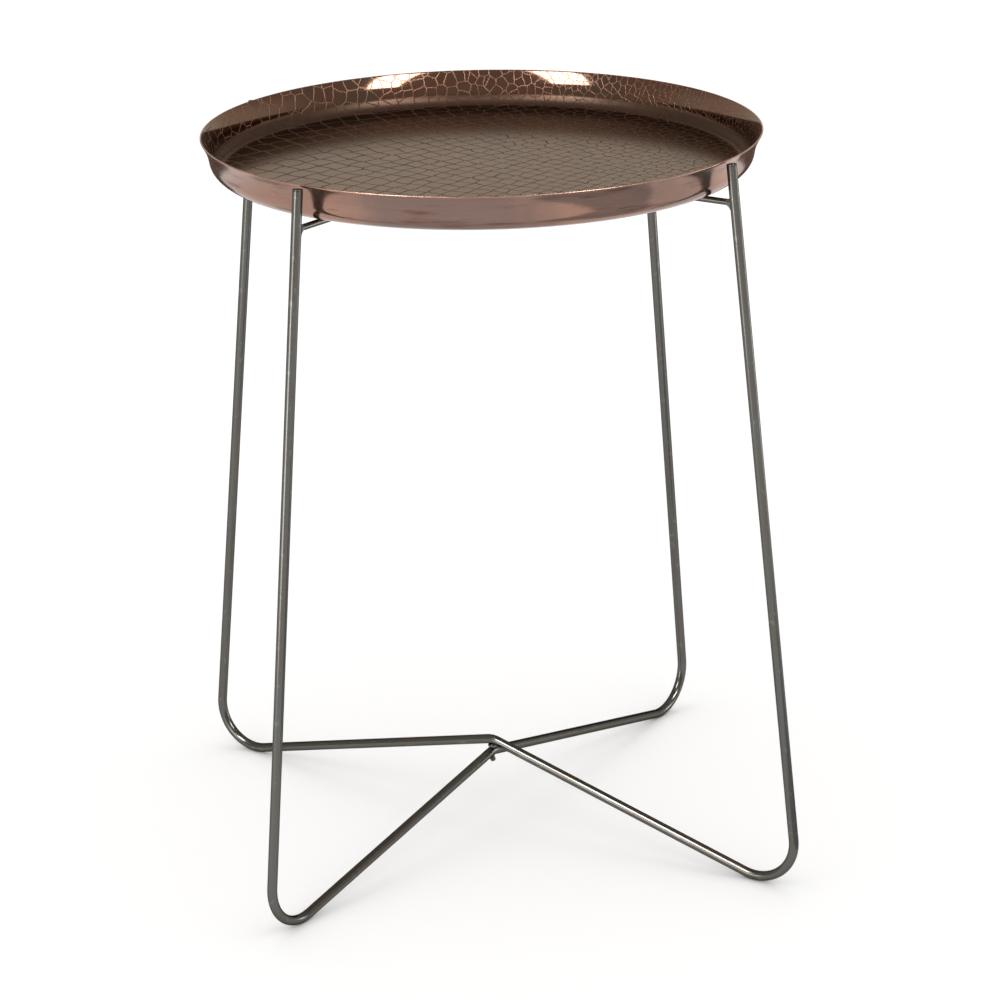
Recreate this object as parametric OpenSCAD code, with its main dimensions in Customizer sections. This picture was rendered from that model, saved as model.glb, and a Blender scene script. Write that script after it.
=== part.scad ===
// Folding tray table: a round, shallow, flared metal tray that lifts off a stand
// made of two bent rods. The rods cross at a vertical pivot pin, so the stand
// folds flat. Units are millimetres, +Z is up, and the origin is on the floor,
// on the axis of the pivot pin. The lower rod frame lies in the XZ plane.

/* [Tray] */
// Diameter across the rim of the tray
tray_d = 450; // [410:5:480]
// Depth of the tray from rim to underside
tray_depth = 30; // [26:1:32]
// Distance from the rim in to the flat part of the tray floor
floor_inset = 20; // [19.5:0.5:24]
// Outside radius of the bend between floor and wall
tray_bend_r = 13.5; // [10:0.5:14]
// Lean of the wall from vertical just above that bend, in degrees
wall_lean = 8; // [4:1:9]
// Thickness of the tray's sheet metal
sheet_t = 1.2; // [0.8:0.1:2]

/* [Stand] */
// Height of the tray's rim above the floor
table_h = 600; // [520:5:680]
// Distance across two opposite feet, over the rod
foot_spread = 590; // [560:5:640]
// Diameter of the rod that the frames are bent from
rod_d = 8; // [7:0.5:9]
// Centreline radius of the bend at each foot
foot_bend_r = 36; // [25:1:50]
// Centreline radius of the bend at the middle of each frame
crown_bend_r = 20; // [16:1:30]
// Height at which the rails of the lower frame would meet without their bend
lower_crown_z = 58; // [50:1:62]
// How much higher the rails of the upper frame meet
crown_rise = 10.7; // [10.7:0.1:13]
// Distance from the rim down to the tops of the legs
leg_drop = 2.4; // [1:0.2:6]
// Gap between the top of each leg and the wall of the tray
leg_gap = 0.6; // [0.4:0.1:2]
// Angle between the two frames when the stand is open, in degrees
open_angle = 93.8; // [60:0.1:120]

/* [Pegs] */
// Diameter of the pegs that carry the tray
peg_d = 5; // [4:0.5:5.5]
// Length of each peg from the centreline of its leg
peg_len = 46; // [30:1:60]
// Gap between the pegs and the underside of the tray
peg_gap = 0.3; // [0.3:0.1:1]
// Radius of the weld at the root of a peg
weld_r = 3.8; // [3.4:0.1:3.9]
// Length of the weld along the peg, beyond the leg
weld_len = 3.5; // [2:0.5:5]

/* [Pivot] */
// Diameter of the pivot pin
pin_d = 3.2; // [3:0.1:4]
// Radial clearance of the pin in the lower frame
pin_clearance = 0.05; // [0.02:0.01:0.1]
// Diameter of the ball that is peened on the lower end of the pin
ball_d = 4.8; // [4.6:0.1:6]
// Distance from the lower frame down to the middle of the ball
ball_drop = 3.4; // [3:0.2:6]
// Depth to which the pin is let into the upper rod
pin_depth = 5.5; // [4:0.5:6]
// Outside diameter of the washer between the frames
washer_d = 7.6; // [6:0.2:8]
// Gap between the washer and the lower frame
washer_gap = 0.3; // [0.3:0.1:0.5]

/* [Hidden] */
$fn = 64;

// Plan angle of each half frame, seen from above
lower_right = 0;
lower_left = 180;
upper_back = open_angle;
upper_front = open_angle + 180;

// Middle of the tray's sheet, as radius and height above the tray's underside:
// flat floor, bend, then a wall that flares on an arc up to the round edge of the rim
tray_z = table_h - tray_depth;
sheet_r = sheet_t / 2;
rim = [tray_d / 2 - sheet_r, tray_depth - sheet_r];
bend_c = [tray_d / 2 - floor_inset, tray_bend_r];
bend_r = tray_bend_r - sheet_r;
wall_normal = [cos(wall_lean), -sin(wall_lean)];
flare_chord = rim - bend_c - bend_r * wall_normal;
flare_half = atan2(flare_chord.x, flare_chord.y) - wall_lean;
flare_r = norm(flare_chord) / (2 * sin(flare_half));
flare_c = bend_c + (bend_r + flare_r) * wall_normal;
rim_lean = wall_lean + 2 * flare_half;

function arc(c, r, a0, a1, steps) = [
    for (i = [0:steps]) let (a = a0 + (a1 - a0) * i / steps) c + r * [cos(a), sin(a)]
];
// One face of the sheet from floor to rim: side is 1 for the outside and -1 for the inside
function sheet_face(side) = concat(
    [[0, sheet_r * (1 - side)]],
    arc(bend_c, bend_r + side * sheet_r, -90, -wall_lean, 12),
    arc(flare_c, flare_r - side * sheet_r, 180 - wall_lean, 180 - rim_lean, 10)
);
function reversed(v) = [for (i = [len(v) - 1:-1:0]) v[i]];
// Outside radius of the flared wall at a distance below the rim
function wall_radius(drop) =
    flare_c.x - sqrt(pow(flare_r - sheet_r, 2) - pow(tray_depth - drop - flare_c.y, 2));

// Frame profile, as distance from the pivot axis and height above the floor
rod_r = rod_d / 2;
knuckle_swell = 0.04;
leg_top = [wall_radius(leg_drop) + leg_gap + rod_r, table_h - leg_drop];
foot_c = [foot_spread / 2 - rod_r - foot_bend_r, foot_bend_r + rod_r];
upper_crown_z = lower_crown_z + crown_rise;

// Direction and length of the line from a point to its tangent point on a circle;
// side is 1 if the circle's centre lies to the left of the line, and -1 if to the right
function heading(v) = atan2(v.y, v.x);
function tangent_angle(p, c, r, side) = heading(c - p) - side * asin(r / norm(c - p));
function tangent_len(p, c, r) = sqrt(pow(norm(c - p), 2) - r * r);
function along(p, angle, len) = p + len * [cos(angle), sin(angle)];

leg_angle = tangent_angle(leg_top, foot_c, foot_bend_r, -1);
leg_len = tangent_len(leg_top, foot_c, foot_bend_r);
leg_foot = along(leg_top, leg_angle, leg_len);

// Fall of a rail below the horizontal, from the crown out to the foot
function rail_fall(crown_z) = -tangent_angle([0, crown_z], foot_c, foot_bend_r, 1);
// Height of the centreline of the finished crown
function crown_top(crown_z) = crown_z - crown_bend_r * (1 / cos(rail_fall(crown_z)) - 1);

lower_crown = crown_top(lower_crown_z);
upper_crown = crown_top(upper_crown_z);

// Peg height, and the place of its root on the leg's centreline
peg_z = tray_z - peg_gap - peg_d / 2;
peg_root = along(leg_top, leg_angle, (peg_z - leg_top.y) / sin(leg_angle));

// The washer fills the gap up to where its edge meets the falling upper rod
washer_fall = crown_bend_r - rod_r
    - sqrt(pow(crown_bend_r - rod_r, 2) - pow(washer_d / 2, 2));
washer_z = lower_crown + rod_r + washer_gap;
washer_t = upper_crown - rod_r - washer_fall - washer_z;

// A straight length of rod in the XZ plane
module straight(p, angle, len, d) {
    translate([p.x, 0, p.y]) rotate([0, 90 - angle, 0]) cylinder(h = len, d = d);
}

// A bend in the XZ plane about the point c, from angle a0 to angle a1
module bend(c, bend_r, a0, a1) {
    translate([c.x, 0, c.y]) rotate([90, 0, 0]) rotate([0, 0, a0])
        rotate_extrude(angle = a1 - a0) translate([bend_r, 0]) circle(d = rod_d);
}

// Where a straight meets its bend, a ball a hair thicker than the rod makes them one
module knuckle(p) {
    translate([p.x, 0, p.y]) sphere(d = rod_d + knuckle_swell);
}

module leg() {
    straight(leg_top, leg_angle, leg_len, rod_d);
}

// Half of a frame: leg, foot bend and the rail that rises to the crown
module half_frame(crown_z) {
    fall = rail_fall(crown_z);
    rail_start = [crown_bend_r * sin(fall), crown_top(crown_z) - crown_bend_r * (1 - cos(fall))];
    rail_end = foot_c + foot_bend_r * [-sin(fall), -cos(fall)];
    leg();
    bend(foot_c, foot_bend_r, -90 - fall, 90 + leg_angle);
    straight(rail_start, -fall, norm(rail_end - rail_start), rod_d);
    for (p = [leg_foot, rail_end, rail_start]) knuckle(p);
}

// A whole frame, bent from one rod
module frame(crown_z) {
    fall = rail_fall(crown_z);
    half_frame(crown_z);
    mirror([1, 0, 0]) half_frame(crown_z);
    bend([0, crown_top(crown_z) - crown_bend_r], crown_bend_r, 90 - fall, 90 + fall);
}

// A peg points from its leg towards the pivot axis
module peg(plan_angle) {
    rotate([0, 0, plan_angle]) difference() {
        straight(peg_root, 180, peg_len, peg_d);
        leg();
    }
}

// The weld fills the corner between leg and peg, mostly below the peg
module weld(plan_angle) {
    sag = weld_r - peg_d / 2;
    rotate([0, 0, plan_angle]) difference() {
        translate([peg_root.x, 0, peg_root.y - sag]) rotate([0, -90, 0])
            cylinder(h = rod_r + weld_len, r1 = weld_r, r2 = peg_d / 2);
        leg();
        straight(peg_root, 180, peg_len, peg_d);
    }
}

module tray() {
    color("#8a5a49") translate([0, 0, tray_z]) rotate_extrude($fn = 180)
        polygon(concat(
            sheet_face(1),
            arc(rim, sheet_r, -rim_lean, 180 - rim_lean, 8),
            reversed(sheet_face(-1))
        ));
}

module lower_frame() {
    color("#4d4d4a") difference() {
        frame(lower_crown_z);
        translate([0, 0, lower_crown - rod_d])
            cylinder(h = 2 * rod_d, r = pin_d / 2 + pin_clearance);
    }
}

module upper_frame() {
    color("#565652") difference() {
        rotate([0, 0, open_angle]) frame(upper_crown_z);
        translate([0, 0, upper_crown - rod_d]) cylinder(h = rod_d - rod_r + pin_depth, d = pin_d);
    }
}

module lower_left_peg() { color("#3f3f3d") peg(lower_left); }
module lower_right_peg() { color("#3f3f3d") peg(lower_right); }
module upper_front_peg() { color("#3f3f3d") peg(upper_front); }
module upper_back_peg() { color("#3f3f3d") peg(upper_back); }
module lower_left_weld() { color("#353532") weld(lower_left); }
module lower_right_weld() { color("#353532") weld(lower_right); }
module upper_front_weld() { color("#353532") weld(upper_front); }
module upper_back_weld() { color("#353532") weld(upper_back); }

module pivot_pin() {
    ball_z = lower_crown - rod_r - ball_drop;
    color("#3a3a38") {
        translate([0, 0, ball_z]) cylinder(h = upper_crown - rod_r + pin_depth - ball_z, d = pin_d);
        translate([0, 0, ball_z]) sphere(d = ball_d);
    }
}

module pivot_washer() {
    color("#6b6b68") translate([0, 0, washer_z]) difference() {
        cylinder(h = washer_t, d = washer_d);
        translate([0, 0, -1]) cylinder(h = washer_t + 2, d = pin_d);
    }
}

tray();
lower_frame();
upper_frame();
lower_left_peg();
lower_right_peg();
upper_front_peg();
upper_back_peg();
lower_left_weld();
lower_right_weld();
upper_front_weld();
upper_back_weld();
pivot_pin();
pivot_washer();
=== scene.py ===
"""A folding tray table: a copper-finished tray on two bent rods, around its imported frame."""

import math

import bmesh
import bpy
from mathutils import Matrix, Vector, noise


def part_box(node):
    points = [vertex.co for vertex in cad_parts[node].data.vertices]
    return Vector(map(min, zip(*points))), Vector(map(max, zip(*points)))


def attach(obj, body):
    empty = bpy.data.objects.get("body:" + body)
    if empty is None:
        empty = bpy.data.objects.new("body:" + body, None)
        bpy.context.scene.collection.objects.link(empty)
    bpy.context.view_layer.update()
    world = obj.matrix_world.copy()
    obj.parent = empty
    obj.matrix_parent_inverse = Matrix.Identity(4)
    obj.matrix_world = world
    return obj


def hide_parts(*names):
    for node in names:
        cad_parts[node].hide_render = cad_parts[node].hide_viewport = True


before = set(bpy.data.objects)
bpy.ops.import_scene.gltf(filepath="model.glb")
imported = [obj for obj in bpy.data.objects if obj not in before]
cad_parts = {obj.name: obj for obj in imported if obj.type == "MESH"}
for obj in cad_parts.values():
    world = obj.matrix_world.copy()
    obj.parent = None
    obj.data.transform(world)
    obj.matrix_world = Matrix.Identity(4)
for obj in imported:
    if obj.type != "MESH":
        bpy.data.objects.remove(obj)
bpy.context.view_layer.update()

bl_info = {
    "name": "Folding Tray Table",
    "version": (1, 0, 0),
    "blender": (4, 5, 0),
    "location": "View3D > Sidebar > Tray Table",
    "description": "Builds a copper tray on a folding stand of bent rods, with its studio",
    "category": "Add Mesh",
}

TRAY_LOW, TRAY_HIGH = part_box("tray")
FRAME_LOW, FRAME_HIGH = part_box("lower_frame")
PIN_LOW, PIN_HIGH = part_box("pivot_pin")
WASHER_LOW, WASHER_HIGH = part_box("pivot_washer")
PEG_LOW, PEG_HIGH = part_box("lower_right_peg")

FULL_TURN = 2 * math.pi
SHEET_SPAN = 0.6        # width of flat sheet that the "sheet" UV map covers
PIN_SHANK = 0.0016      # radius of the pin's shank
WASHER_BORE = 0.0017    # radius of the washer's hole
COLLAR = 0.002          # short step at each end of a straight, so that its shading stays true
OUTSIDE, INSIDE, RIM = range(3)     # order of the tray's materials


# ---------------------------------------------------------------- settings


class TraySettings(bpy.types.PropertyGroup):
    """Sizes and colours of the tray."""

    sheet: bpy.props.FloatProperty(
        name="Sheet", description="Thickness of the sheet metal",
        default=0.0012, min=0.0008, max=0.002, unit="LENGTH", precision=4)
    floor_radius: bpy.props.FloatProperty(
        name="Floor Radius", description="Radius of the flat floor",
        default=0.205, min=0.18, max=0.21, unit="LENGTH", precision=4)
    bend_radius: bpy.props.FloatProperty(
        name="Bend Radius", description="Outside radius of the bend between floor and wall",
        default=0.0135, min=0.01, max=0.016, unit="LENGTH", precision=4)
    wall_lean: bpy.props.FloatProperty(
        name="Wall Lean", description="Lean of the wall from vertical, just above the bend",
        default=math.radians(8), min=0.0, max=0.35, subtype="ANGLE")
    cell: bpy.props.FloatProperty(
        name="Cell", description="Side of an etched cell at the middle of the floor",
        default=0.0132, min=0.005, max=0.04, unit="LENGTH", precision=4)
    cell_drift: bpy.props.FloatProperty(
        name="Cell Drift", description="How quickly the etched cells shrink across the sheet",
        default=2.1, min=0.1, max=4.0)
    grain_turn: bpy.props.FloatProperty(
        name="Grain Turn", description="Direction in plan along which the cells shrink",
        default=math.radians(-52.75), min=-math.pi, max=math.pi, subtype="ANGLE")
    copper: bpy.props.FloatVectorProperty(
        name="Copper", description="Colour of the brushed copper outside",
        default=(0.330, 0.192, 0.146), size=3, min=0.0, max=1.0, subtype="COLOR")
    patina: bpy.props.FloatVectorProperty(
        name="Patina", description="Colour of the darkened cells inside",
        default=(0.150, 0.098, 0.072), size=3, min=0.0, max=1.0, subtype="COLOR")
    etch: bpy.props.FloatVectorProperty(
        name="Etch", description="Colour of the etched lines inside",
        default=(0.33, 0.175, 0.125), size=3, min=0.0, max=1.0, subtype="COLOR")


class StandSettings(bpy.types.PropertyGroup):
    """Sizes and colours of the rods, pegs, welds and pivot."""

    rod_radius: bpy.props.FloatProperty(
        name="Rod Radius", description="Radius of the rod",
        default=0.004, min=0.003, max=0.005, unit="LENGTH", precision=4)
    foot_bend: bpy.props.FloatProperty(
        name="Foot Bend", description="Centreline radius of the bend at each foot",
        default=0.036, min=0.02, max=0.06, unit="LENGTH", precision=4)
    crown_bend: bpy.props.FloatProperty(
        name="Crown Bend", description="Centreline radius of the bend at the crossing",
        default=0.02, min=0.015, max=0.03, unit="LENGTH", precision=4)
    lower_crown: bpy.props.FloatProperty(
        name="Lower Crown", description="Height at which the lower frame's rails would meet",
        default=0.058, min=0.05, max=0.07, unit="LENGTH", precision=4)
    upper_crown: bpy.props.FloatProperty(
        name="Upper Crown", description="Height at which the upper frame's rails would meet",
        default=0.0687, min=0.06, max=0.08, unit="LENGTH", precision=4)
    leg_top_radius: bpy.props.FloatProperty(
        name="Leg Top Radius", description="Distance of each leg top from the pivot axis",
        default=0.22858, min=0.2, max=0.26, unit="LENGTH", precision=4)
    leg_top_height: bpy.props.FloatProperty(
        name="Leg Top Height", description="Height of the middle of each leg top",
        default=0.5976, min=0.5, max=0.7, unit="LENGTH", precision=4)
    open_angle: bpy.props.FloatProperty(
        name="Open Angle", description="Angle between the two frames when the stand is open",
        default=math.radians(93.8), min=0.1, max=3.0, subtype="ANGLE")
    end_round: bpy.props.FloatProperty(
        name="End Round", description="Rounding of the cut rod ends",
        default=0.0005, min=0.0001, max=0.001, unit="LENGTH", precision=4)
    weld_size: bpy.props.FloatProperty(
        name="Weld Size", description="Reach of each weld from the leg, along and below its peg",
        default=0.0042, min=0.002, max=0.006, unit="LENGTH", precision=4)
    gunmetal: bpy.props.FloatVectorProperty(
        name="Gunmetal", description="Colour of the blackened rods",
        default=(0.125, 0.124, 0.115), size=3, min=0.0, max=1.0, subtype="COLOR")


class StageSettings(bpy.types.PropertyGroup):
    """Camera, light and floor."""

    camera_turn: bpy.props.FloatProperty(
        name="Camera Turn", description="Direction in plan in which the camera looks from +Y",
        default=math.radians(-52.75), min=-math.pi, max=math.pi, subtype="ANGLE")
    camera_distance: bpy.props.FloatProperty(
        name="Camera Distance", description="Level distance from the pivot axis to the camera",
        default=2.5938, min=1.0, max=6.0, unit="LENGTH")
    camera_height: bpy.props.FloatProperty(
        name="Camera Height", description="Height of the camera above the floor",
        default=1.1945, min=0.2, max=4.0, unit="LENGTH")
    camera_pitch: bpy.props.FloatProperty(
        name="Camera Pitch", description="How far the camera looks down",
        default=0.3375, min=-1.0, max=1.5, subtype="ANGLE")
    camera_yaw: bpy.props.FloatProperty(
        name="Camera Yaw", description="How far the camera looks to the right of the axis",
        default=0.0038, min=-0.5, max=0.5, subtype="ANGLE")
    camera_roll: bpy.props.FloatProperty(
        name="Camera Roll", description="Tilt of the camera about its own line of sight",
        default=-0.0168, min=-0.5, max=0.5, subtype="ANGLE")
    lens: bpy.props.FloatProperty(
        name="Lens", description="Focal length on a 36 mm sensor, in millimetres",
        default=118.93, min=20.0, max=300.0)
    floor_tone: bpy.props.FloatVectorProperty(
        name="Floor Tone", description="Colour of the studio floor",
        default=(0.9, 0.9, 0.895), size=3, min=0.0, max=1.0, subtype="COLOR")
    softbox_light: bpy.props.FloatProperty(
        name="Softbox Light", description="Brightness of the face of each softbox",
        default=16.0, min=0.0, max=40.0)
    strip_light: bpy.props.FloatProperty(
        name="Strip Light", description="Brightness of the upright strips that line the rods",
        default=4.5, min=0.0, max=40.0)
    sweep_light: bpy.props.FloatProperty(
        name="Sweep Light", description="Brightness of the lit sweep at the back right",
        default=2.4, min=0.0, max=40.0)
    white_light: bpy.props.FloatProperty(
        name="White Light", description="Brightness of the white room round the table",
        default=1.22, min=0.0, max=4.0)
    sweep_tone: bpy.props.FloatVectorProperty(
        name="Sweep Tone", description="Tone of the pale sweep that polished metal shows",
        default=(0.70, 0.68, 0.64), size=3, min=0.0, max=1.0, subtype="COLOR")
    room_tone: bpy.props.FloatVectorProperty(
        name="Room Tone", description="Tone of the dark room that polished metal shows",
        default=(0.43, 0.385, 0.345), size=3, min=0.0, max=1.0, subtype="COLOR")


# ---------------------------------------------------------------- node helpers


def add_node(tree, kind, **values):
    """Adds a node; values sets its properties, or its inputs where the name is a socket's."""
    node = tree.nodes.new(kind)
    for name, value in values.items():
        socket = node.inputs.get(name.replace("_", " "))
        if hasattr(node, name):
            setattr(node, name, value)
        elif socket is not None:
            socket.default_value = value
        else:
            raise RuntimeError(f"{kind} has no {name}")
    return node


def feed(tree, socket, value):
    """Gives an input its value: another socket to link, or a number or colour to set."""
    if isinstance(value, bpy.types.NodeSocket):
        tree.links.new(value, socket)
    else:
        socket.default_value = value


def math_node(tree, operation, first, second=None, clamp=False):
    """One Math node; first and second are sockets or numbers."""
    node = add_node(tree, "ShaderNodeMath", operation=operation, use_clamp=clamp)
    feed(tree, node.inputs[0], first)
    if second is not None:
        feed(tree, node.inputs[1], second)
    return node.outputs[0]


def times(tree, first, second):
    """The product of two values."""
    return math_node(tree, "MULTIPLY", first, second)


def plus(tree, first, second, clamp=False):
    """The sum of two values."""
    return math_node(tree, "ADD", first, second, clamp)


def ramp(tree, value, low, high, out_low, out_high):
    """Maps a value from low..high to out_low..out_high, with eased ends."""
    node = add_node(tree, "ShaderNodeMapRange", interpolation_type="SMOOTHSTEP",
                    From_Min=low, From_Max=high, To_Min=out_low, To_Max=out_high)
    tree.links.new(value, node.inputs["Value"])
    return node.outputs["Result"]


def blend_colour(tree, share, first, second):
    """Mixes two colours, each a socket or a row of red, green and blue."""
    node = add_node(tree, "ShaderNodeMix", data_type="RGBA")
    tree.links.new(share, node.inputs["Factor"])
    colours = [socket for socket in node.inputs if socket.type == "RGBA"]
    for socket, value in zip(colours, (first, second)):
        if not isinstance(value, bpy.types.NodeSocket):
            value = (*value[:3], 1.0)
        feed(tree, socket, value)
    return next(socket for socket in node.outputs if socket.type == "RGBA")


def shade(colour, *amounts):
    """A colour times one amount, or times one amount for each of red, green and blue."""
    if len(amounts) == 1:
        amounts *= 3
    return tuple(channel * amount for channel, amount in zip(colour, amounts))


def new_group(name, inputs, outputs):
    """A shader node group with named float or vector sockets, and its two end nodes."""
    group = bpy.data.node_groups.new(name, "ShaderNodeTree")
    for socket, kind, default in inputs:
        made = group.interface.new_socket(name=socket, in_out="INPUT", socket_type=kind)
        if default is not None:
            made.default_value = default
    for socket, kind in outputs:
        group.interface.new_socket(name=socket, in_out="OUTPUT", socket_type=kind)
    return group, group.nodes.new("NodeGroupInput"), group.nodes.new("NodeGroupOutput")


def use_group(tree, group, **values):
    """Places a node group; values feed its inputs."""
    node = add_node(tree, "ShaderNodeGroup", node_tree=group)
    for name, value in values.items():
        feed(tree, node.inputs[name.replace("_", " ")], value)
    return node


def new_material(name):
    """A material with one Principled shader, and that shader's node."""
    made = bpy.data.materials.new(name)
    made.use_nodes = True
    made.node_tree.nodes.clear()
    shader = made.node_tree.nodes.new("ShaderNodeBsdfPrincipled")
    output = made.node_tree.nodes.new("ShaderNodeOutputMaterial")
    made.node_tree.links.new(shader.outputs["BSDF"], output.inputs["Surface"])
    return made, made.node_tree, shader


def raise_surface(tree, shader, height, strength, distance):
    """Bumps a material's surface by a height."""
    bump = add_node(tree, "ShaderNodeBump", Strength=strength, Distance=distance)
    tree.links.new(height, bump.inputs["Height"])
    tree.links.new(bump.outputs["Normal"], shader.inputs["Normal"])


# ---------------------------------------------------------------- shared effects


def handling_marks():
    """Smudges, fine grain and scattered hairline scratches, as three masks."""
    name = "handling_marks"
    if name in bpy.data.node_groups:
        return bpy.data.node_groups[name]
    group, start, end = new_group(
        name,
        [("Vector", "NodeSocketVector", None), ("Smudge Scale", "NodeSocketFloat", 14.0),
         ("Grain Scale", "NodeSocketFloat", 900.0)],
        [("Smudge", "NodeSocketFloat"), ("Grain", "NodeSocketFloat"),
         ("Scratch", "NodeSocketFloat")])
    link = group.links.new
    smudge = add_node(group, "ShaderNodeTexNoise", Detail=3.0, Roughness=0.6)
    grain = add_node(group, "ShaderNodeTexNoise", Detail=2.0, Roughness=0.5)
    for noise_node, scale in ((smudge, "Smudge Scale"), (grain, "Grain Scale")):
        link(start.outputs["Vector"], noise_node.inputs["Vector"])
        link(start.outputs[scale], noise_node.inputs["Scale"])
    stretched = add_node(group, "ShaderNodeMapping", Scale=(1.0, 0.12, 0.35),
                         Rotation=(0.3, 0.5, 0.7))
    hair = add_node(group, "ShaderNodeTexNoise", Scale=420.0, Detail=1.0)
    link(start.outputs["Vector"], stretched.inputs["Vector"])
    link(stretched.outputs["Vector"], hair.inputs["Vector"])
    link(ramp(group, smudge.outputs["Fac"], 0.38, 0.66, 0.0, 1.0), end.inputs["Smudge"])
    link(grain.outputs["Fac"], end.inputs["Grain"])
    link(ramp(group, hair.outputs["Fac"], 0.66, 0.72, 0.0, 1.0), end.inputs["Scratch"])
    return group


def crackle_net():
    """Etched net: a narrow line, its wide soft halo, and a value that differs per cell."""
    name = "crackle_net"
    if name in bpy.data.node_groups:
        return bpy.data.node_groups[name]
    group, start, end = new_group(
        name,
        [("Vector", "NodeSocketVector", None), ("Cells", "NodeSocketFloat", 1.0),
         ("Disorder", "NodeSocketFloat", 0.5), ("Wobble", "NodeSocketFloat", 0.2),
         ("Line", "NodeSocketFloat", 0.03), ("Halo", "NodeSocketFloat", 0.09)],
        [("Line", "NodeSocketFloat"), ("Halo", "NodeSocketFloat"), ("Tone", "NodeSocketFloat")])
    link = group.links.new
    drift = add_node(group, "ShaderNodeTexNoise", noise_dimensions="2D", Scale=0.9, Detail=1.0)
    centred = add_node(group, "ShaderNodeVectorMath", operation="SUBTRACT")
    centred.inputs[1].default_value = (0.5, 0.5, 0.5)
    sized = add_node(group, "ShaderNodeVectorMath", operation="SCALE")
    moved = add_node(group, "ShaderNodeVectorMath", operation="ADD")
    scaled = add_node(group, "ShaderNodeVectorMath", operation="SCALE")
    link(start.outputs["Vector"], scaled.inputs[0])
    link(start.outputs["Cells"], scaled.inputs["Scale"])
    link(scaled.outputs[0], drift.inputs["Vector"])
    link(drift.outputs["Color"], centred.inputs[0])
    link(centred.outputs[0], sized.inputs[0])
    link(start.outputs["Wobble"], sized.inputs["Scale"])
    link(scaled.outputs[0], moved.inputs[0])
    link(sized.outputs[0], moved.inputs[1])
    edge = add_node(group, "ShaderNodeTexVoronoi", voronoi_dimensions="2D",
                    feature="DISTANCE_TO_EDGE", Scale=1.0)
    cell = add_node(group, "ShaderNodeTexVoronoi", voronoi_dimensions="2D",
                    feature="F1", Scale=1.0)
    for node in (edge, cell):
        link(moved.outputs[0], node.inputs["Vector"])
        link(start.outputs["Disorder"], node.inputs["Randomness"])
    for width in ("Line", "Halo"):
        share = math_node(group, "DIVIDE", edge.outputs["Distance"], start.outputs[width])
        link(ramp(group, share, 0.35, 1.0, 1.0, 0.0), end.inputs[width])
    tone = add_node(group, "ShaderNodeSeparateColor")
    link(cell.outputs["Color"], tone.inputs["Color"])
    link(tone.outputs[0], end.inputs["Tone"])
    return group


def spun_brushing():
    """Fine rings that a turning tray takes from a brush, and tarnish that follows them."""
    name = "spun_brushing"
    if name in bpy.data.node_groups:
        return bpy.data.node_groups[name]
    group, start, end = new_group(
        name, [("Vector", "NodeSocketVector", None), ("Fineness", "NodeSocketFloat", 1600.0)],
        [("Rings", "NodeSocketFloat"), ("Patches", "NodeSocketFloat"),
         ("Haze", "NodeSocketFloat"), ("Streaks", "NodeSocketFloat")])
    link = group.links.new
    parts = add_node(group, "ShaderNodeSeparateXYZ")
    link(start.outputs["Vector"], parts.inputs[0])
    x, y, z = parts.outputs
    radius = math_node(group, "SQRT", plus(group, times(group, x, x), times(group, y, y)))
    across = plus(group, z, radius)

    def along_rings(share, scale, detail):
        """Noise that varies across the rings, and only slowly along them."""
        wrapped = add_node(group, "ShaderNodeCombineXYZ")
        link(times(group, x, share), wrapped.inputs[0])
        link(times(group, y, share), wrapped.inputs[1])
        link(across, wrapped.inputs[2])
        cloud = add_node(group, "ShaderNodeTexNoise", Detail=detail, Roughness=0.62)
        link(wrapped.outputs[0], cloud.inputs["Vector"])
        feed(group, cloud.inputs["Scale"], scale)
        return cloud.outputs["Fac"]

    rings = along_rings(0.012, start.outputs["Fineness"], 3.0)
    streaks = along_rings(0.13, 110.0, 5.0)
    patches = add_node(group, "ShaderNodeTexNoise", Scale=9.0, Detail=4.0, Roughness=0.6)
    haze = add_node(group, "ShaderNodeTexNoise", Scale=5.0, Detail=5.0, Roughness=0.55)
    for cloud in (patches, haze):
        link(start.outputs["Vector"], cloud.inputs["Vector"])
    link(rings, end.inputs["Rings"])
    link(ramp(group, patches.outputs["Fac"], 0.35, 0.68, 0.0, 1.0), end.inputs["Patches"])
    link(ramp(group, haze.outputs["Fac"], 0.44, 0.6, 0.0, 0.85), end.inputs["Haze"])
    link(ramp(group, streaks, 0.54, 0.7, 0.0, 0.85), end.inputs["Streaks"])
    return group


# ---------------------------------------------------------------- materials


def copper_outside(settings):
    """Warm copper, brushed round the tray, with streaks of brown and grey tarnish."""
    made, tree, shader = new_material("copper_outside")
    link = tree.links.new
    where = add_node(tree, "ShaderNodeTexCoord").outputs["Object"]
    brush = use_group(tree, spun_brushing(), Vector=where)
    marks = use_group(tree, handling_marks(), Vector=where, Smudge_Scale=22.0)
    warm = settings.copper
    brown = shade(warm, 0.42, 0.36, 0.33)
    grey = shade(warm, 0.58, 0.72, 0.85)
    pale = shade(warm, 1.18, 1.16, 1.16)
    tint = blend_colour(tree, brush.outputs["Patches"], warm, pale)
    tint = blend_colour(tree, brush.outputs["Haze"], tint, grey)
    tint = blend_colour(tree, brush.outputs["Streaks"], tint, brown)
    ring_share = ramp(tree, brush.outputs["Rings"], 0.3, 0.7, 0.0, 0.22)
    tint = blend_colour(tree, ring_share, tint, brown)
    link(tint, shader.inputs["Base Color"])
    shader.inputs["Metallic"].default_value = 1.0
    rough = ramp(tree, brush.outputs["Rings"], 0.3, 0.7, 0.07, 0.14)
    for mark in ("Grain", "Smudge"):
        rough = plus(tree, rough, times(tree, marks.outputs[mark], 0.05))
    link(rough, shader.inputs["Roughness"])
    height = plus(tree, brush.outputs["Rings"], times(tree, marks.outputs["Scratch"], 0.5))
    raise_surface(tree, shader, height, 0.1, 0.0001)
    return made


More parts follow.
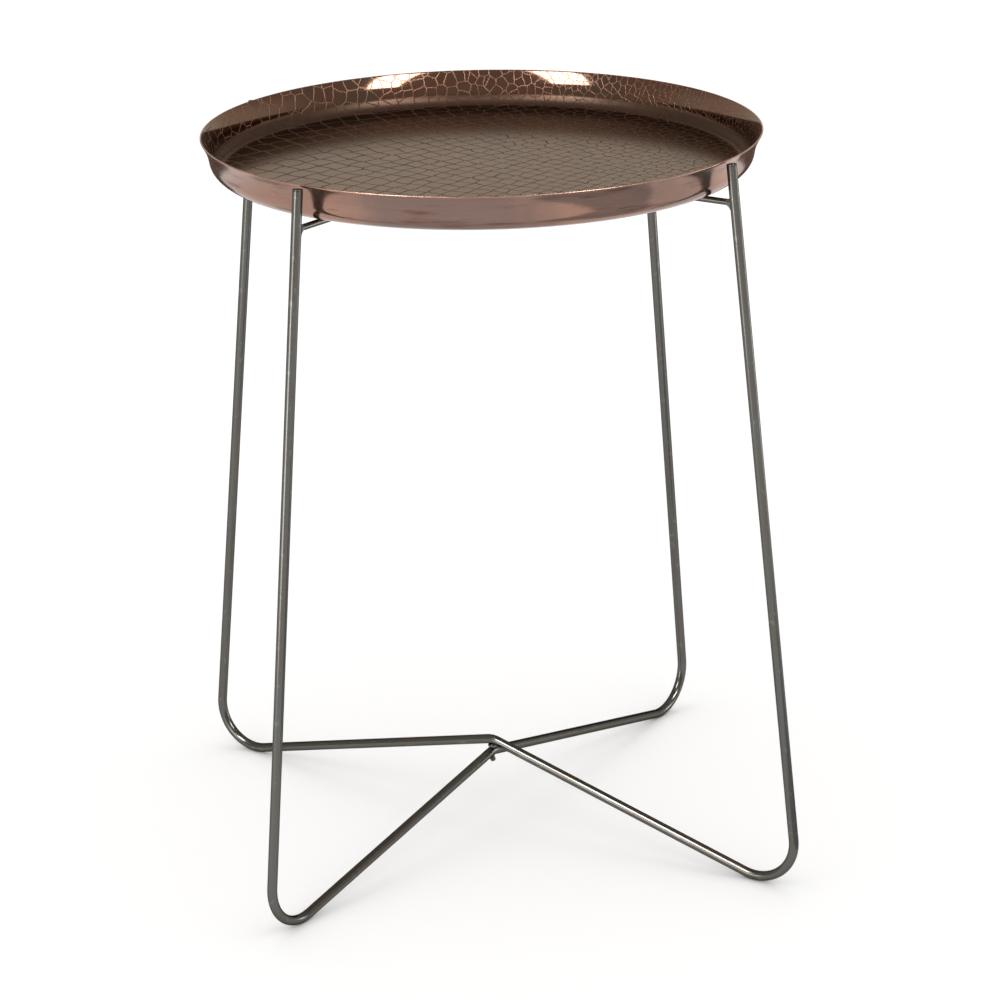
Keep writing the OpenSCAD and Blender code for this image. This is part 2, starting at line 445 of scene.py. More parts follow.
def height_mask(tree, where, settings, start, end, below, above):
    """A mask that goes from below to above between two heights over the tray's floor."""
    parts = add_node(tree, "ShaderNodeSeparateXYZ")
    tree.links.new(where, parts.inputs[0])
    floor_top = TRAY_LOW.z + settings.sheet
    return ramp(tree, parts.outputs[2], floor_top + start, floor_top + end, below, above)


def etched_crackle(tree, where, settings):
    """Line, halo and tone of the etched net: squares on the floor, small scales up the wall.

    It also gives a mask of the wall.
    """
    link = tree.links.new
    sheet = add_node(tree, "ShaderNodeUVMap", uv_map="sheet").outputs["UV"]
    across = add_node(tree, "ShaderNodeMapping", vector_type="POINT",
                      Rotation=(0.0, 0.0, -settings.grain_turn))
    link(where, across.inputs["Vector"])
    plan = add_node(tree, "ShaderNodeSeparateXYZ")
    link(across.outputs["Vector"], plan.inputs[0])
    ragged = plus(tree, plan.outputs[0], times(tree, plan.outputs[1], 0.7))
    squares = use_group(tree, crackle_net(), Vector=sheet, Cells=SHEET_SPAN / settings.cell,
                        Disorder=ramp(tree, ragged, 0.02, 0.2, 0.13, 0.85), Wobble=0.45,
                        Line=0.04, Halo=0.064)
    scales = use_group(tree, crackle_net(), Vector=sheet,
                       Cells=1.5 * SHEET_SPAN / settings.cell,
                       Disorder=0.95, Wobble=0.25, Line=0.035, Halo=0.058)
    wall = height_mask(tree, where, settings, 0.0015, 0.0035, 0.0, 1.0)
    found = []
    for name in ("Line", "Halo", "Tone"):
        node = add_node(tree, "ShaderNodeMix", data_type="FLOAT")
        link(wall, node.inputs["Factor"])
        link(squares.outputs[name], node.inputs["A"])
        link(scales.outputs[name], node.inputs["B"])
        found.append(node.outputs["Result"])
    return (*found, wall)


def copper_inside(settings):
    """Dark polished patina, etched with matt lines that show the copper."""
    made, tree, shader = new_material("copper_inside")
    link = tree.links.new
    where = add_node(tree, "ShaderNodeTexCoord").outputs["Object"]
    marks = use_group(tree, handling_marks(), Vector=where, Smudge_Scale=11.0)
    line, halo, tone, wall = etched_crackle(tree, where, settings)
    # Painted shade: the bend between floor and wall is darkened nearly to black, so that it stays
    # dark and shows no bright band of reflected light. It is also made rougher, as polish dulled
    # in the bend.
    bend = times(tree, height_mask(tree, where, settings, 0.0004, 0.002, 0.0, 1.0),
                 height_mask(tree, where, settings, 0.0065, 0.0115, 1.0, 0.0))
    # Where the metal shows in another piece of metal, it is kept dark and dull, so that the
    # bowl of the tray doesn't throw light back into itself.
    mirrored = add_node(tree, "ShaderNodeLightPath").outputs["Is Glossy Ray"]

    dark, etched = settings.patina, settings.etch
    cells = blend_colour(tree, tone, dark, shade(dark, 1.16, 1.14, 1.12))
    cells = blend_colour(tree, times(tree, marks.outputs["Smudge"], 0.4), cells,
                         shade(dark, 1.5, 1.05, 0.9))
    lines = blend_colour(tree, wall, shade(etched, 0.34), etched)
    colour = blend_colour(tree, halo, cells, lines)
    colour = blend_colour(tree, times(tree, line, 0.5), colour, shade(etched, 0.3))
    # painted shade in the bend
    colour = blend_colour(tree, times(tree, bend, 0.85), colour, (0.05, 0.030, 0.021))
    colour = blend_colour(tree, times(tree, mirrored, 0.6), colour, (0.02, 0.012, 0.009))
    link(colour, shader.inputs["Base Color"])
    shader.inputs["Metallic"].default_value = 1.0
    shader.inputs["Specular Tint"].default_value = (0.92, 0.87, 0.80, 1.0)

    floor = math_node(tree, "SUBTRACT", 1.0, wall)
    rough = ramp(tree, marks.outputs["Grain"], 0.3, 0.7, 0.06, 0.1)
    for share, amount in ((bend, 0.34), (floor, 0.09), (halo, 0.38), (mirrored, 0.5)):
        rough = plus(tree, rough, times(tree, share, amount), clamp=True)
    link(rough, shader.inputs["Roughness"])
    depth = math_node(tree, "SUBTRACT", times(tree, marks.outputs["Grain"], 0.03), line)
    raise_surface(tree, shader, depth, 0.5, 0.00025)
    return made


def copper_rim(settings):
    """The bare rubbed edge of the sheet."""
    made, tree, shader = new_material("copper_rim")
    where = add_node(tree, "ShaderNodeTexCoord").outputs["Object"]
    marks = use_group(tree, handling_marks(), Vector=where, Smudge_Scale=60.0)
    tint = blend_colour(tree, marks.outputs["Smudge"], shade(settings.copper, 1.45),
                        settings.copper)
    tree.links.new(tint, shader.inputs["Base Color"])
    shader.inputs["Metallic"].default_value = 1.0
    rough = ramp(tree, marks.outputs["Grain"], 0.3, 0.7, 0.22, 0.34)
    tree.links.new(rough, shader.inputs["Roughness"])
    return made


def blackened_steel(name, settings, lightness=1.0, roughness=0.18, grain=0.12):
    """Blackened steel under a thin lacquer, with brown hints where it is handled.

    It is made once for each name, and shared by the pieces that ask for it.
    """
    if name in bpy.data.materials:
        return bpy.data.materials[name]
    made, tree, shader = new_material(name)
    where = add_node(tree, "ShaderNodeTexCoord").outputs["Object"]
    marks = use_group(tree, handling_marks(), Vector=where, Smudge_Scale=16.0, Grain_Scale=1400.0)
    base = shade(settings.gunmetal, lightness)
    tint = blend_colour(tree, times(tree, marks.outputs["Smudge"], 0.55), base,
                        shade(base, 1.0, 0.87, 0.82))
    tint = blend_colour(tree, times(tree, marks.outputs["Scratch"], 0.6), tint,
                        shade(base, 1.5))
    tree.links.new(tint, shader.inputs["Base Color"])
    shader.inputs["Metallic"].default_value = 1.0
    rough = ramp(tree, marks.outputs["Grain"], 0.3, 0.7, roughness - 0.04, roughness + 0.05)
    rough = plus(tree, rough, times(tree, marks.outputs["Smudge"], 0.05))
    tree.links.new(rough, shader.inputs["Roughness"])
    shader.inputs["Specular Tint"].default_value = (0.3, 0.3, 0.29, 1.0)
    raise_surface(tree, shader, marks.outputs["Grain"], grain, 0.00006)
    return made


# ---------------------------------------------------------------- mesh helpers


def arc_points(centre, radius, start, end, steps):
    """Points along an arc in a plane, start and end in radians."""
    return [(centre[0] + radius * math.cos(a), centre[1] + radius * math.sin(a))
            for a in (start + (end - start) * i / steps for i in range(steps + 1))]


def profile_edges(mesh, points):
    """Joins points (radius, height) in the XZ plane into a chain of edges."""
    verts = [mesh.verts.new((x, 0.0, z)) for x, z in points]
    return verts, [mesh.edges.new(pair) for pair in zip(verts, verts[1:])]


def spin_closed(mesh, verts, edges, steps):
    """Turns a profile once round Z, and merges the seam and the poles."""
    bmesh.ops.spin(mesh, geom=verts + edges, cent=(0, 0, 0), axis=(0, 0, 1),
                   angle=FULL_TURN, steps=steps, use_merge=True, use_duplicate=False)
    bmesh.ops.remove_doubles(mesh, verts=mesh.verts[:], dist=1e-6)
    bmesh.ops.recalc_face_normals(mesh, faces=mesh.faces[:])


def finish_piece(mesh, name, materials, body, slot, *nodes):
    """Makes the object, which rides on its body and stands for its CAD nodes."""
    data = bpy.data.meshes.new(name)
    for face in mesh.faces:
        face.smooth = True
    mesh.to_mesh(data)
    mesh.free()
    for material in materials:
        data.materials.append(material)
    piece = bpy.data.objects.new(name, data)
    bpy.context.scene.collection.objects.link(piece)
    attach(piece, body)
    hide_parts(*nodes)
    return piece


# ---------------------------------------------------------------- tray


def sheet_place(x, y, travel, settings):
    """Where a point lay on the flat sheet before pressing, with cells that shrink one way."""
    radius = math.hypot(x, y)
    stretch = travel / radius if radius > 1e-9 else 1.0
    turn = -settings.grain_turn
    right = (x * math.cos(turn) - y * math.sin(turn)) * stretch
    away = (x * math.sin(turn) + y * math.cos(turn)) * stretch
    drift = settings.cell_drift
    growth = math.exp(drift * right)
    u = (growth * math.cos(drift * away) - 1) / drift
    v = growth * math.sin(drift * away) / drift
    diagonal = math.sqrt(0.5)
    return (0.5 + (u - v) * diagonal / SHEET_SPAN, 0.5 + (u + v) * diagonal / SHEET_SPAN)


def tray_profile(settings):
    """The sheet's outline in three runs: up the outside, over the rim, and down the inside.

    Each run is a list of points (radius, height); the first starts, and the last ends, at the
    middle of the floor.
    """
    half = settings.sheet / 2
    lean = settings.wall_lean
    bend_c = (settings.floor_radius, settings.bend_radius)
    bend_r = settings.bend_radius - half
    rim = (TRAY_HIGH.x - half, TRAY_HIGH.z - TRAY_LOW.z - half)
    chord = (rim[0] - bend_c[0] - bend_r * math.cos(lean),
             rim[1] - bend_c[1] + bend_r * math.sin(lean))
    flare_half = math.atan2(*chord) - lean
    flare_r = math.hypot(*chord) / (2 * math.sin(flare_half))
    flare_c = (bend_c[0] + (bend_r + flare_r) * math.cos(lean),
               bend_c[1] - (bend_r + flare_r) * math.sin(lean))
    rim_lean = lean + 2 * flare_half
    floor_rings, bend_steps, flare_steps, lip_steps = 24, 14, 14, 8

    def face(side):
        """One face of the sheet from the middle out, where side is 1 outside and -1 inside."""
        floor = [(settings.floor_radius * i / floor_rings, half * (1 - side))
                 for i in range(floor_rings)]
        bend = arc_points(bend_c, bend_r + side * half, -math.pi / 2, -lean, bend_steps)
        flare = arc_points(flare_c, flare_r - side * half,
                           math.pi - lean, math.pi - rim_lean, flare_steps)
        return floor + bend + flare[1:]

    lip = arc_points(rim, half, -rim_lean, math.pi - rim_lean, lip_steps)[1:-1]
    return [[(x, TRAY_LOW.z + z) for x, z in run] for run in (face(1), lip, face(-1)[::-1])]


def build_tray(settings):
    """Spins the sheet's outline, and lays the inside out on the flat sheet it was pressed from."""
    outside, lip, inside = tray_profile(settings)
    mesh = bmesh.new()
    mesh.verts.layers.float.new("travel")
    mesh.verts.layers.int.new("region")
    travel, region = mesh.verts.layers.float["travel"], mesh.verts.layers.int["region"]
    verts, edges = profile_edges(mesh, outside + lip + inside)
    regions = [OUTSIDE] * len(outside) + [RIM] * len(lip) + [INSIDE] * len(inside)
    for vert, kind in zip(verts, regions):
        vert[region] = kind
    run = 0.0
    inner_verts = verts[-len(inside):][::-1]
    for nearer, vert in zip(inner_verts, inner_verts[1:]):
        run += (vert.co - nearer.co).length
        vert[travel] = run
    spin_closed(mesh, verts, edges, 240)
    sheet = mesh.loops.layers.uv.new("sheet")
    for face in mesh.faces:
        face.material_index = max(vert[region] for vert in face.verts)
        if face.material_index == INSIDE:
            for loop in face.loops:
                x, y, _ = loop.vert.co
                loop[sheet].uv = sheet_place(x, y, loop.vert[travel], settings)
    mesh.verts.layers.float.remove(mesh.verts.layers.float["travel"])
    mesh.verts.layers.int.remove(mesh.verts.layers.int["region"])
    materials = [copper_outside(settings), copper_inside(settings), copper_rim(settings)]
    return finish_piece(mesh, "copper_tray", materials, "tray_body", "copper_finish", "tray")


class TRAYTABLE_OT_tray(bpy.types.Operator):
    """Spin the tray's sheet and give it its copper finish"""

    bl_idname = "tray_table.tray"
    bl_label = "Build Tray"

    def execute(self, context):
        build_tray(context.scene.tray_table_tray)
        return {"FINISHED"}


# ---------------------------------------------------------------- stand


def tangent(point, centre, radius, side):
    """Angle and length of the line from a point to a circle; side is the centre's side."""
    dx, dz = centre[0] - point[0], centre[1] - point[1]
    away = math.hypot(dx, dz)
    return (math.atan2(dz, dx) - side * math.asin(radius / away),
            math.sqrt(away * away - radius * radius))


def frame_path(crown, settings):
    """Angles and lengths that one rod is bent to, on its right half."""
    foot = (FRAME_HIGH.x - settings.rod_radius - settings.foot_bend,
            settings.foot_bend + settings.rod_radius)
    top = (settings.leg_top_radius, settings.leg_top_height)
    leg_angle, leg_length = tangent(top, foot, settings.foot_bend, -1)
    rail_angle, rail_length = tangent((0.0, crown), foot, settings.foot_bend, 1)
    fall = -rail_angle
    return {
        "top": top, "foot": foot, "leg_angle": leg_angle, "leg": leg_length, "fall": fall,
        "rail": rail_length - settings.crown_bend * math.tan(fall),
        "crown": crown - settings.crown_bend / math.cos(fall),
    }


def push(mesh, ring, step):
    """Extrudes a ring of edges along a straight, with a short collar that keeps each end crisp."""
    collar = COLLAR / step.length
    for share in (collar, 1 - 2 * collar, collar):
        made = bmesh.ops.extrude_edge_only(mesh, edges=ring)["geom"]
        verts = [g for g in made if isinstance(g, bmesh.types.BMVert)]
        bmesh.ops.translate(mesh, verts=verts, vec=step * share)
        ring = [g for g in made if isinstance(g, bmesh.types.BMEdge)]
    return ring


def turn(mesh, ring, centre, angle, steps):
    """Spins a ring of edges round a bend in the XZ plane."""
    verts = list({vert for edge in ring for vert in edge.verts})
    made = bmesh.ops.spin(mesh, geom=verts + list(ring), cent=(centre[0], 0, centre[1]),
                          axis=(0, 1, 0), angle=angle, steps=steps, use_merge=False,
                          use_duplicate=False)["geom_last"]
    return [g for g in made if isinstance(g, bmesh.types.BMEdge)]


def turn_in_plan(mesh, angle):
    """Turns a finished mesh about the pivot axis, and points its faces outwards."""
    bmesh.ops.rotate(mesh, verts=mesh.verts[:], cent=(0, 0, 0),
                     matrix=Matrix.Rotation(angle, 3, "Z"))
    bmesh.ops.recalc_face_normals(mesh, faces=mesh.faces[:])


def build_frame(name, crown, plan_turn, body, node, settings):
    """Bends one rod from the top of its left leg to the top of its right leg."""
    path = frame_path(crown, settings)
    foot, fall = path["foot"], path["fall"]
    left_leg = Vector((-math.cos(path["leg_angle"]), 0, math.sin(path["leg_angle"])))
    left_leg *= path["leg"]
    left_rail = Vector((math.cos(fall), 0, math.sin(fall))) * path["rail"]
    right_rail = Vector((left_rail.x, 0, -left_rail.z))
    right_leg = Vector((left_leg.x, 0, -left_leg.z))
    foot_turn = (math.atan2(left_rail.z, left_rail.x)
                 - math.atan2(left_leg.z, left_leg.x)) % FULL_TURN
    mesh = bmesh.new()
    place = (Matrix.Translation((-path["top"][0], 0, path["top"][1]))
             @ left_leg.to_track_quat("Z", "Y").to_matrix().to_4x4())
    start = bmesh.ops.create_circle(mesh, segments=36, radius=settings.rod_radius, matrix=place,
                                    cap_ends=False)["verts"]
    ring = list({edge for vert in start for edge in vert.link_edges})
    ring = push(mesh, ring, left_leg)
    ring = turn(mesh, ring, (-foot[0], foot[1]), -foot_turn, 40)
    ring = push(mesh, ring, left_rail)
    ring = turn(mesh, ring, (0.0, path["crown"]), 2 * fall, 14)
    ring = push(mesh, ring, right_rail)
    ring = turn(mesh, ring, foot, -foot_turn, 40)
    push(mesh, ring, right_leg)
    caps = bmesh.ops.holes_fill(mesh, edges=[edge for edge in mesh.edges if edge.is_boundary],
                                sides=0)["faces"]
    rims = list({edge for cap in caps for edge in cap.edges})
    bmesh.ops.bevel(mesh, geom=rims, offset=settings.end_round, offset_type="OFFSET", segments=3,
                    profile=0.5, affect="EDGES", material=-1)
    turn_in_plan(mesh, plan_turn)
    steel = blackened_steel("blackened_rod", settings)
    return finish_piece(mesh, name, [steel], body, "gunmetal_rod", node)


class TRAYTABLE_OT_frames(bpy.types.Operator):
    """Bend the two rods of the stand"""

    bl_idname = "tray_table.frames"
    bl_label = "Build Rod Frames"

    def execute(self, context):
        settings = context.scene.tray_table_stand
        build_frame("lower_rod_frame", settings.lower_crown, 0.0, "lower_stand", "lower_frame",
                    settings)
        build_frame("upper_rod_frame", settings.upper_crown, settings.open_angle, "upper_stand",
                    "upper_frame", settings)
        return {"FINISHED"}


# Peg, weld, the frame that they ride on, and which of its legs they stand on, in degrees.
PEGS = (
    ("lower_right_peg", "lower_right_weld", "lower_stand", 0),
    ("lower_left_peg", "lower_left_weld", "lower_stand", 180),
    ("upper_back_peg", "upper_back_weld", "upper_stand", 0),
    ("upper_front_peg", "upper_front_weld", "upper_stand", 180),
)


def peg_turn(body, degrees, settings):
    """Turn in plan of one peg's leg."""
    return math.radians(degrees) + (settings.open_angle if body == "upper_stand" else 0.0)


def build_peg(name, body, plan_turn, settings):
    """A short round bar with a domed free end, let into its leg."""
    radius = (PEG_HIGH.z - PEG_LOW.z) / 2
    height = (PEG_HIGH.z + PEG_LOW.z) / 2
    tip = PEG_LOW.x
    root = PEG_HIGH.x - settings.rod_radius / 3
    mesh = bmesh.new()
    place = Matrix.Translation(((tip + root) / 2, 0, height)) @ Matrix.Rotation(
        math.pi / 2, 4, "Y")
    bmesh.ops.create_cone(mesh, cap_ends=True, cap_tris=False, segments=32, radius1=radius,
                          radius2=radius, depth=root - tip, matrix=place)
    for cut in (tip + 0.6 * radius, root - COLLAR / 10):
        bmesh.ops.bisect_plane(mesh, geom=mesh.verts[:] + mesh.edges[:] + mesh.faces[:],
                               dist=1e-7, plane_co=(cut, 0, 0), plane_no=(1, 0, 0))
    edges = [edge for edge in mesh.edges
             if all(abs(vert.co.x - tip) < 1e-6 for vert in edge.verts)]
    bmesh.ops.bevel(mesh, geom=edges, offset=0.3 * radius, offset_type="OFFSET", segments=4,
                    profile=0.5, affect="EDGES", material=-1)
    turn_in_plan(mesh, plan_turn)
    steel = blackened_steel("blackened_peg", settings, 0.9, 0.24)
    return finish_piece(mesh, name + "_bar", [steel], body, "gunmetal_peg", name)


def build_weld(name, body, plan_turn, settings):
    """A rippled bead that runs out along the peg, and sags below it."""
    peg_radius = (PEG_HIGH.z - PEG_LOW.z) / 2
    height = (PEG_HIGH.z + PEG_LOW.z) / 2
    leg_angle = frame_path(settings.lower_crown, settings)["leg_angle"]
    leg_x = settings.leg_top_radius + (settings.leg_top_height - height) / math.tan(-leg_angle)
    start = settings.rod_radius * 0.55
    end = settings.rod_radius + settings.weld_size
    swell, sag, ripple, steps = 0.0013, 1.3, 0.00022, 14
    profile = [(0.0, start)]
    for i in range(steps + 1):
        left = 1 - i / steps
        profile.append((peg_radius * (0.97 + 0.02 * left) + swell * left ** 2.2,
                        start + (end - start) * i / steps))
    profile.append((0.0, end))
    mesh = bmesh.new()
    verts, edges = profile_edges(mesh, profile)
    spin_closed(mesh, verts, edges, 40)
    bmesh.ops.rotate(mesh, verts=mesh.verts[:], cent=(0, 0, 0),
                     matrix=Matrix.Rotation(-math.pi / 2, 3, "Y"))
    for vert in mesh.verts:
        left = max(0.0, 1 - (-vert.co.x - start) / (end - start))
        if vert.co.z < 0:
            vert.co.z *= 1 + sag * left ** 1.5
        off_axis = Vector((0, vert.co.y, vert.co.z))
        if left > 0 and off_axis.length > 1e-5:
            bump = noise.noise(vert.co * 900 + Vector((plan_turn, 0, 0)))
            vert.co += off_axis.normalized() * bump * ripple * left
    bmesh.ops.translate(mesh, verts=mesh.verts[:], vec=(leg_x, 0, height))
    turn_in_plan(mesh, plan_turn)
    metal = blackened_steel("weld_metal", settings, 0.75, 0.34, 0.8)
    return finish_piece(mesh, name + "_bead", [metal], body, "weld_metal", name)


class TRAYTABLE_OT_pegs(bpy.types.Operator):
    """Weld the four pegs that carry the tray"""

    bl_idname = "tray_table.pegs"
    bl_label = "Build Pegs and Welds"

    def execute(self, context):
        settings = context.scene.tray_table_stand
        for peg, weld, body, degrees in PEGS:
            plan_turn = peg_turn(body, degrees, settings)
            build_peg(peg, body, plan_turn, settings)
            build_weld(weld, body, plan_turn, settings)
        return {"FINISHED"}


def build_pin(settings):
    """The pivot pin: a straight shank with a peened ball at its lower end."""
    ball = (PIN_HIGH.x - PIN_LOW.x) / 2
    centre = PIN_LOW.z + ball
    neck = math.asin(PIN_SHANK / ball)
    points = arc_points((0, centre), ball, -math.pi / 2, math.pi / 2 - neck, 18)
    points += [(PIN_SHANK, PIN_HIGH.z), (0, PIN_HIGH.z)]
    points[0] = (0.0, PIN_LOW.z)
    mesh = bmesh.new()
    verts, edges = profile_edges(mesh, points)
    spin_closed(mesh, verts, edges, 32)
    for vert in mesh.verts:
        if vert.co.z < centre:
            dent = noise.noise(vert.co * 700)
            vert.co += Vector((vert.co.x, vert.co.y, 0)) * 0.05 * dent
    steel = blackened_steel("peened_pin", settings, 0.8, 0.3, 0.6)
    return finish_piece(mesh, "peened_pin", [steel], "upper_stand", "dark_pin", "pivot_pin")


def build_washer(settings):
    """The washer that spaces the two crowns, with rounded edges."""
    outer = (WASHER_HIGH.x - WASHER_LOW.x) / 2
    points = [(WASHER_BORE, WASHER_LOW.z), (outer, WASHER_LOW.z), (outer, WASHER_HIGH.z),
              (WASHER_BORE, WASHER_HIGH.z), (WASHER_BORE, WASHER_LOW.z)]
    mesh = bmesh.new()
    verts, edges = profile_edges(mesh, points)
    spin_closed(mesh, verts, edges, 40)
    sharp = math.radians(57)
    corners = [edge for edge in mesh.edges if edge.calc_face_angle(0.0) > sharp]
    bmesh.ops.bevel(mesh, geom=corners, offset=0.00025, offset_type="OFFSET", segments=3,
                    profile=0.5, affect="EDGES", material=-1)
    bmesh.ops.recalc_face_normals(mesh, faces=mesh.faces[:])
    steel = blackened_steel("worn_washer", settings, 1.6, 0.32, 0.5)
    return finish_piece(mesh, "crown_washer", [steel], "upper_stand", "washer_steel",
                        "pivot_washer")


class TRAYTABLE_OT_pivot(bpy.types.Operator):
    """Make the pin and washer of the fold pivot"""

    bl_idname = "tray_table.pivot"
    bl_label = "Build Pivot"

    def execute(self, context):
        settings = context.scene.tray_table_stand
        build_pin(settings)
        build_washer(settings)
        return {"FINISHED"}


# ---------------------------------------------------------------- stage


def plain_material(name, colour, roughness=0.9):
    made, _, shader = new_material(name)
    shader.inputs["Base Color"].default_value = (*colour, 1.0)
    shader.inputs["Roughness"].default_value = roughness
    return made


def stage_card(name, size, location, aim, colour):
    """A plain card that shows only in reflections."""
    mesh = bmesh.new()
    bmesh.ops.create_grid(mesh, x_segments=1, y_segments=1, size=0.5)
    data = bpy.data.meshes.new(name)
    mesh.to_mesh(data)
    mesh.free()
    data.materials.append(plain_material(name, colour, 1.0))
    card = bpy.data.objects.new(name, data)
    card.location = location
    card.rotation_euler = (Vector(aim) - Vector(location)).to_track_quat("Z", "Y").to_euler()
    card.scale = (size[0], size[1], 1.0)
    card.visible_camera = card.visible_diffuse = card.visible_shadow = False
    bpy.context.scene.collection.objects.link(card)
    return card


def seen_from_camera(settings, degrees, distance, height):
    """A place given by its direction in plan from the table, where -90 is the camera's side."""
    angle = math.radians(degrees) + settings.camera_turn
    return Vector((distance * math.cos(angle), distance * math.sin(angle), height))


def softbox(name, location, aim, size, brightness):
    """An area light that shows only on polished metal."""
    light = bpy.data.lights.new(name, "AREA")
    light.shape = "RECTANGLE"
    light.size, light.size_y = size
    light.energy = brightness * math.pi * size[0] * size[1]
    made = bpy.data.objects.new(name, light)
    made.location = location
    made.rotation_euler = (location - aim).to_track_quat("Z", "Y").to_euler()
    made.visible_camera = made.visible_diffuse = False
    bpy.context.scene.collection.objects.link(made)
    return made


def build_world(settings):
    """A white room, in which polished metal sees a pale sweep behind and a dark room in front."""
    world = bpy.data.worlds.new("studio_room")
    world.use_nodes = True
    tree = world.node_tree
    tree.nodes.clear()
    link = tree.links.new
    out = add_node(tree, "ShaderNodeOutputWorld")
    where = add_node(tree, "ShaderNodeTexCoord")
    turned = add_node(tree, "ShaderNodeMapping", vector_type="POINT",
                      Rotation=(0.0, 0.0, -settings.camera_turn))
    link(where.outputs["Generated"], turned.inputs["Vector"])
    parts = add_node(tree, "ShaderNodeSeparateXYZ")
    link(turned.outputs["Vector"], parts.inputs[0])
    height = ramp(tree, parts.outputs[2], 0.2, 0.55, 1.0, 0.0)
    behind = ramp(tree, parts.outputs[1], -0.3, 0.35, 0.0, 1.0)
    sweep = times(tree, height, behind)
    room = blend_colour(tree, sweep, settings.room_tone, settings.sweep_tone)
    polished = add_node(tree, "ShaderNodeBackground", Strength=1.0)
    link(room, polished.inputs["Color"])
    white = add_node(tree, "ShaderNodeBackground", Color=(1.0, 1.0, 0.995, 1.0),
                     Strength=settings.white_light)
    path = add_node(tree, "ShaderNodeLightPath")
    pick = add_node(tree, "ShaderNodeMixShader")
    link(path.outputs["Is Glossy Ray"], pick.inputs[0])
    link(white.outputs[0], pick.inputs[1])
    link(polished.outputs[0], pick.inputs[2])
    link(pick.outputs[0], out.inputs["Surface"])
    bpy.context.scene.world = world


def build_floor(settings):
    """A wide plain floor."""
    mesh = bmesh.new()
    bmesh.ops.create_circle(mesh, cap_ends=True, radius=14.0, segments=96)
    data = bpy.data.meshes.new("studio_floor")
    mesh.to_mesh(data)
    mesh.free()
    data.materials.append(plain_material("studio_floor", tuple(settings.floor_tone)))
    floor = bpy.data.objects.new("studio_floor", data)
    bpy.context.scene.collection.objects.link(floor)


def build_camera(settings):
    """The camera, on its own side of the table."""
    lens = bpy.data.cameras.new("camera")
    lens.sensor_width = 36.0
    lens.lens = settings.lens
    lens.clip_start, lens.clip_end = 0.05, 60.0
    camera = bpy.data.objects.new("camera", lens)
    heading = Matrix.Rotation(settings.camera_turn - settings.camera_yaw, 4, "Z")
    tilt = Matrix.Rotation(math.pi / 2 - settings.camera_pitch, 4, "X")
    roll = Matrix.Rotation(settings.camera_roll, 4, "Z")
    place = Matrix.Translation(
        seen_from_camera(settings, -90, settings.camera_distance, settings.camera_height))
    camera.matrix_world = place @ heading @ tilt @ roll
    bpy.context.scene.collection.objects.link(camera)
    bpy.context.scene.camera = camera


def build_lights(settings):
    """Softboxes and cards, each placed by its direction in plan from the table."""
    rim = Vector((0, 0, TRAY_HIGH.z))
    rods = Vector((0, 0, 0.35))
    up = Vector((0, 0, 1))
    # Name, direction in degrees, distance, height, aim, size and brightness.
    boxes = (
        ("softbox_right", -43, 2.0, 2.4, rim, (0.68, 1.6), settings.softbox_light),
        ("softbox_left", -133, 2.0, 2.4, rim, (0.8, 1.6), settings.softbox_light),
        ("side_left", -138, 1.6, 0.32, rods, (0.6, 0.63), settings.strip_light),
        ("side_right", 8, 1.6, 0.3, rods, (0.36, 0.58), settings.strip_light),
    )
    for name, degrees, distance, height, aim, size, brightness in boxes:
        softbox(name, seen_from_camera(settings, degrees, distance, height), aim, size,
                brightness)
    sweep = seen_from_camera(settings, 46, 1.4, 0.01)
    softbox("sweep_light", sweep, sweep - up, (0.6, 0.9), settings.sweep_light)
    # Dark flags behind the table on both sides darken the two ends of the tray's wall.
    for name, degrees, width in (("dark_flag_left", 119, 0.55), ("dark_flag_right", 72, 1.0)):
        place = seen_from_camera(settings, degrees, 1.15, 0.3)
        stage_card(name, (width, 0.6), place, rods, (0.10, 0.055, 0.038))
    # A grey card on the floor gives the front of the wall its cooler patch.
    degrees = -32
    place = seen_from_camera(settings, degrees, 0.95, 0.004)
    card = stage_card("grey_card", (1.2, 0.5), place, place + up, (0.40, 0.45, 0.50))
    card.rotation_euler.z = math.radians(degrees) + settings.camera_turn


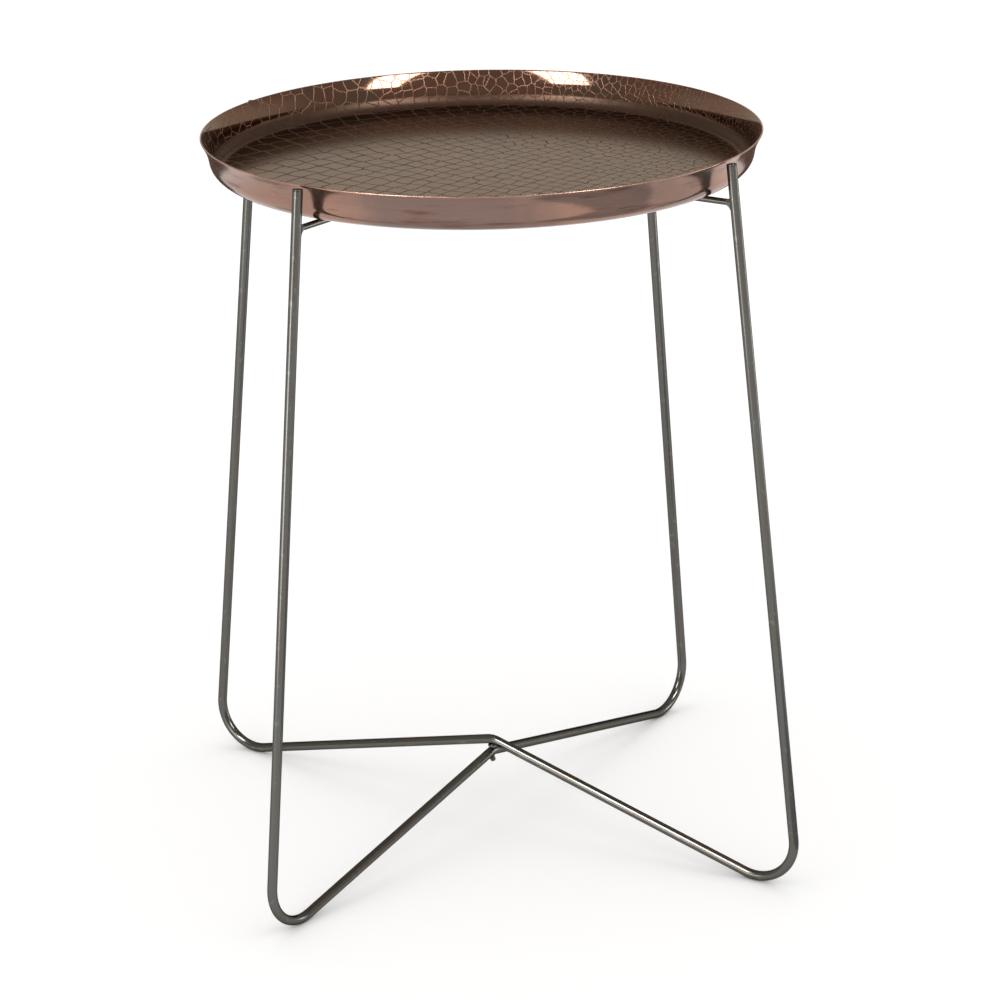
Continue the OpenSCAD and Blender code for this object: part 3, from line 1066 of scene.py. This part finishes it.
class TRAYTABLE_OT_stage(bpy.types.Operator):
    """Set the floor, the lights and the camera"""

    bl_idname = "tray_table.stage"
    bl_label = "Build Stage"

    def execute(self, context):
        settings = context.scene.tray_table_stage
        build_world(settings)
        build_floor(settings)
        build_lights(settings)
        build_camera(settings)
        context.scene.view_settings.view_transform = "Standard"
        return {"FINISHED"}


# ---------------------------------------------------------------- add-on


class TRAYTABLE_PT_panel(bpy.types.Panel):
    """Settings and build steps of the tray table"""

    bl_label = "Tray Table"
    bl_idname = "TRAYTABLE_PT_panel"
    bl_space_type = "VIEW_3D"
    bl_region_type = "UI"
    bl_category = "Tray Table"

    def draw(self, context):
        groups = (
            (context.scene.tray_table_tray, (TRAYTABLE_OT_tray,)),
            (context.scene.tray_table_stand,
             (TRAYTABLE_OT_frames, TRAYTABLE_OT_pegs, TRAYTABLE_OT_pivot)),
            (context.scene.tray_table_stage, (TRAYTABLE_OT_stage,)),
        )
        for settings, operators in groups:
            box = self.layout.box()
            for name in settings.__annotations__:
                box.prop(settings, name)
            for operator in operators:
                box.operator(operator.bl_idname)


CLASSES = (
    TraySettings, StandSettings, StageSettings,
    TRAYTABLE_OT_tray, TRAYTABLE_OT_frames, TRAYTABLE_OT_pegs, TRAYTABLE_OT_pivot,
    TRAYTABLE_OT_stage, TRAYTABLE_PT_panel,
)


def register():
    """Adds the classes and the scene's settings."""
    for kind in CLASSES:
        bpy.utils.register_class(kind)
    bpy.types.Scene.tray_table_tray = bpy.props.PointerProperty(type=TraySettings)
    bpy.types.Scene.tray_table_stand = bpy.props.PointerProperty(type=StandSettings)
    bpy.types.Scene.tray_table_stage = bpy.props.PointerProperty(type=StageSettings)


def unregister():
    """Takes them away again."""
    for name in ("tray_table_stage", "tray_table_stand", "tray_table_tray"):
        delattr(bpy.types.Scene, name)
    for kind in reversed(CLASSES):
        bpy.utils.unregister_class(kind)


def main():
    """Builds the whole table."""
    register()
    bpy.ops.tray_table.stage()
    bpy.ops.tray_table.tray()
    bpy.ops.tray_table.frames()
    bpy.ops.tray_table.pegs()
    bpy.ops.tray_table.pivot()


if __name__ == "__main__":
    main()
